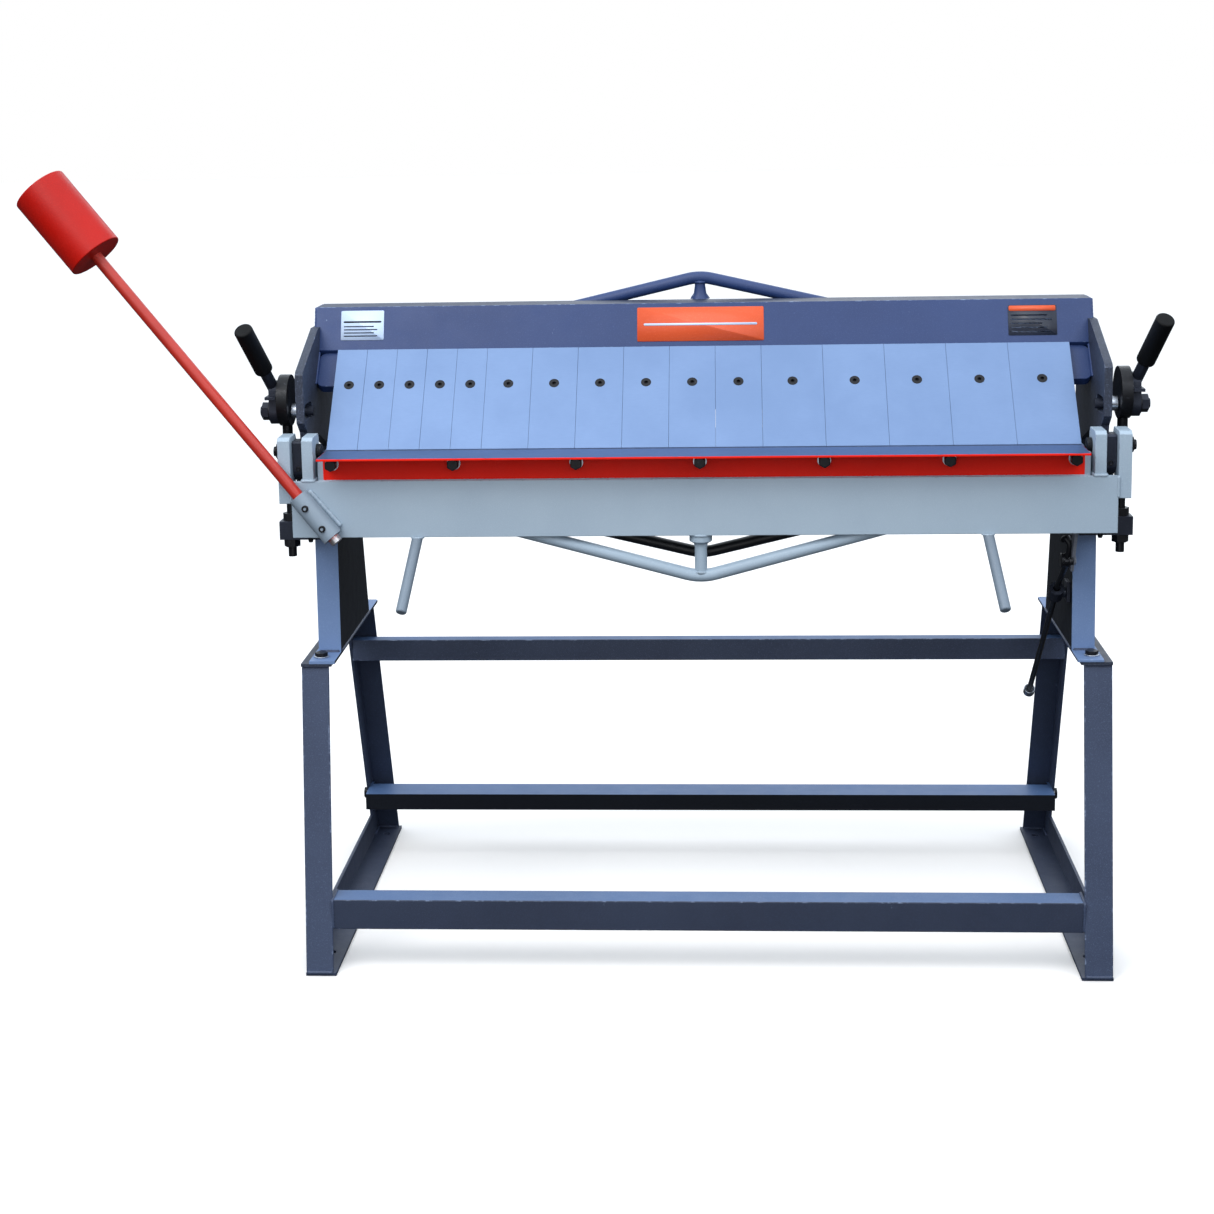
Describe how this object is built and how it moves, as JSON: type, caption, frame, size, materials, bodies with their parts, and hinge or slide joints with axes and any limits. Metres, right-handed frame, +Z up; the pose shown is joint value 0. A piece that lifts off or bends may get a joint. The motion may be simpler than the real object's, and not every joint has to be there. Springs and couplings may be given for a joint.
{
  "type": "sheet metal brake",
  "caption": "Box-and-pan sheet metal brake with clamp fingers, a swinging apron with a counterweight arm, cam clamp handles and a welded stand.",
  "frame": {"origin": "on the floor at the centre of the four anchor holes in the foot rails", "axes": "+X to the operator's right, +Y to the back, +Z up; the operator stands at -Y"},
  "size_m": [1.8439, 0.7834, 1.3407],
  "materials": {
    "slate_paint": "fine textured powder coat",
    "black_paint": "satin paint",
    "light_paint": "semi-gloss enamel",
    "red_paint": "semi-gloss enamel",
    "ground_steel": "surface ground",
    "dark_iron": "painted casting",
    "black_rod": "blackened rod",
    "rubber": "matte",
    "black_oxide": "black oxide"
  },
  "bodies": {
    "frame": {"foot_rails": "slate_paint", "front_legs": "slate_paint", "back_legs": "slate_paint", "top_rails": "slate_paint", "front_rail": "slate_paint", "rear_shelf_rail": "slate_paint", "rear_upper_rail": "slate_paint", "stand_bolts": "black_oxide", "bed_end_left": "slate_paint", "bed_end_right": "slate_paint", "bed_table": "black_paint", "bed_truss": "black_paint", "hinge_blocks": "slate_paint", "link_brackets": "slate_paint", "links": "dark_iron", "link_nuts": "black_oxide", "pivot_brackets": "slate_paint", "pivot_pins": "black_oxide", "stop_mount": "black_oxide"},
    "apron": {"apron_beam": "light_paint", "apron_lugs": "light_paint", "bending_bar": "red_paint", "bending_bar_bolts": "black_oxide", "apron_truss": "light_paint", "pull_handles": "light_paint", "hinge_pins": "black_oxide", "arm_socket": "light_paint", "stop_bracket": "black_oxide"},
    "weight_arm": {"counterweight_arm": "red_paint", "counterweight": "red_paint"},
    "clamp_beam": {"beam_panel": "slate_paint", "beam_ends": "slate_paint", "finger_bar": "slate_paint", "beam_truss": "slate_paint", "finger_01": "ground_steel", "finger_02": "ground_steel", "finger_03": "ground_steel", "finger_04": "ground_steel", "finger_05": "ground_steel", "finger_06": "ground_steel", "finger_07": "ground_steel", "finger_08": "ground_steel", "finger_09": "ground_steel", "finger_10": "ground_steel", "finger_11": "ground_steel", "finger_12": "ground_steel", "finger_13": "ground_steel", "finger_14": "ground_steel", "finger_15": "ground_steel", "finger_16": "ground_steel", "finger_screws": "black_oxide"},
    "left_handle": {"eccentric_left": "dark_iron", "clamp_handle_left": "black_rod", "handle_grip_left": "rubber"},
    "right_handle": {"eccentric_right": "dark_iron", "clamp_handle_right": "black_rod", "handle_grip_right": "rubber"},
    "stop_block": {"stop_swivel": "black_oxide"},
    "stop_slider": {"stop_rod": "black_rod"}
  },
  "joints": [
    {"name": "apron_hinge", "type": "hinge", "parent": "frame", "child": "apron", "pos_m": [0, -0.322, 0.881], "axis": [-1, 0, 0], "range_deg": [0, 120]},
    {"name": "arm_slide", "type": "slide", "parent": "apron", "child": "weight_arm", "axis": [-0.6421, 0.1196, 0.7572], "range_m": [-0.05, 0.03]},
    {"name": "beam_lift", "type": "hinge", "parent": "frame", "child": "clamp_beam", "pos_m": [0, -0.072, 0.721], "axis": [-1, 0, 0], "range_deg": [0, 5.87]},
    {"name": "left_clamp", "type": "hinge", "parent": "frame", "child": "left_handle", "pos_m": [-0.684, -0.26, 0.9567], "axis": [-1, 0, 0], "range_deg": [0, 90.5]},
    {"name": "right_clamp", "type": "hinge", "parent": "frame", "child": "right_handle", "pos_m": [0.684, -0.26, 0.9567], "axis": [-1, 0, 0], "range_deg": [0, 90.5]},
    {"name": "stop_turn", "type": "hinge", "parent": "frame", "child": "stop_block", "pos_m": [0.588, -0.222, 0.616], "axis": [-1, 0, 0], "range_deg": [0, 9.47]},
    {"name": "stop_travel", "type": "slide", "parent": "stop_block", "child": "stop_slider", "axis": [0, -0.7433, 0.669], "range_m": [0, 0.3363]}
  ],
  "couplings": [
    {"joint": "left_clamp", "follows": "beam_lift", "ratio": 15.332},
    {"joint": "right_clamp", "follows": "beam_lift", "ratio": 15.332},
    {"joint": "stop_turn", "follows": "apron_hinge", "ratio": 0.07642},
    {"joint": "stop_travel", "follows": "apron_hinge", "m_per_rad": 0.1596}
  ]
}
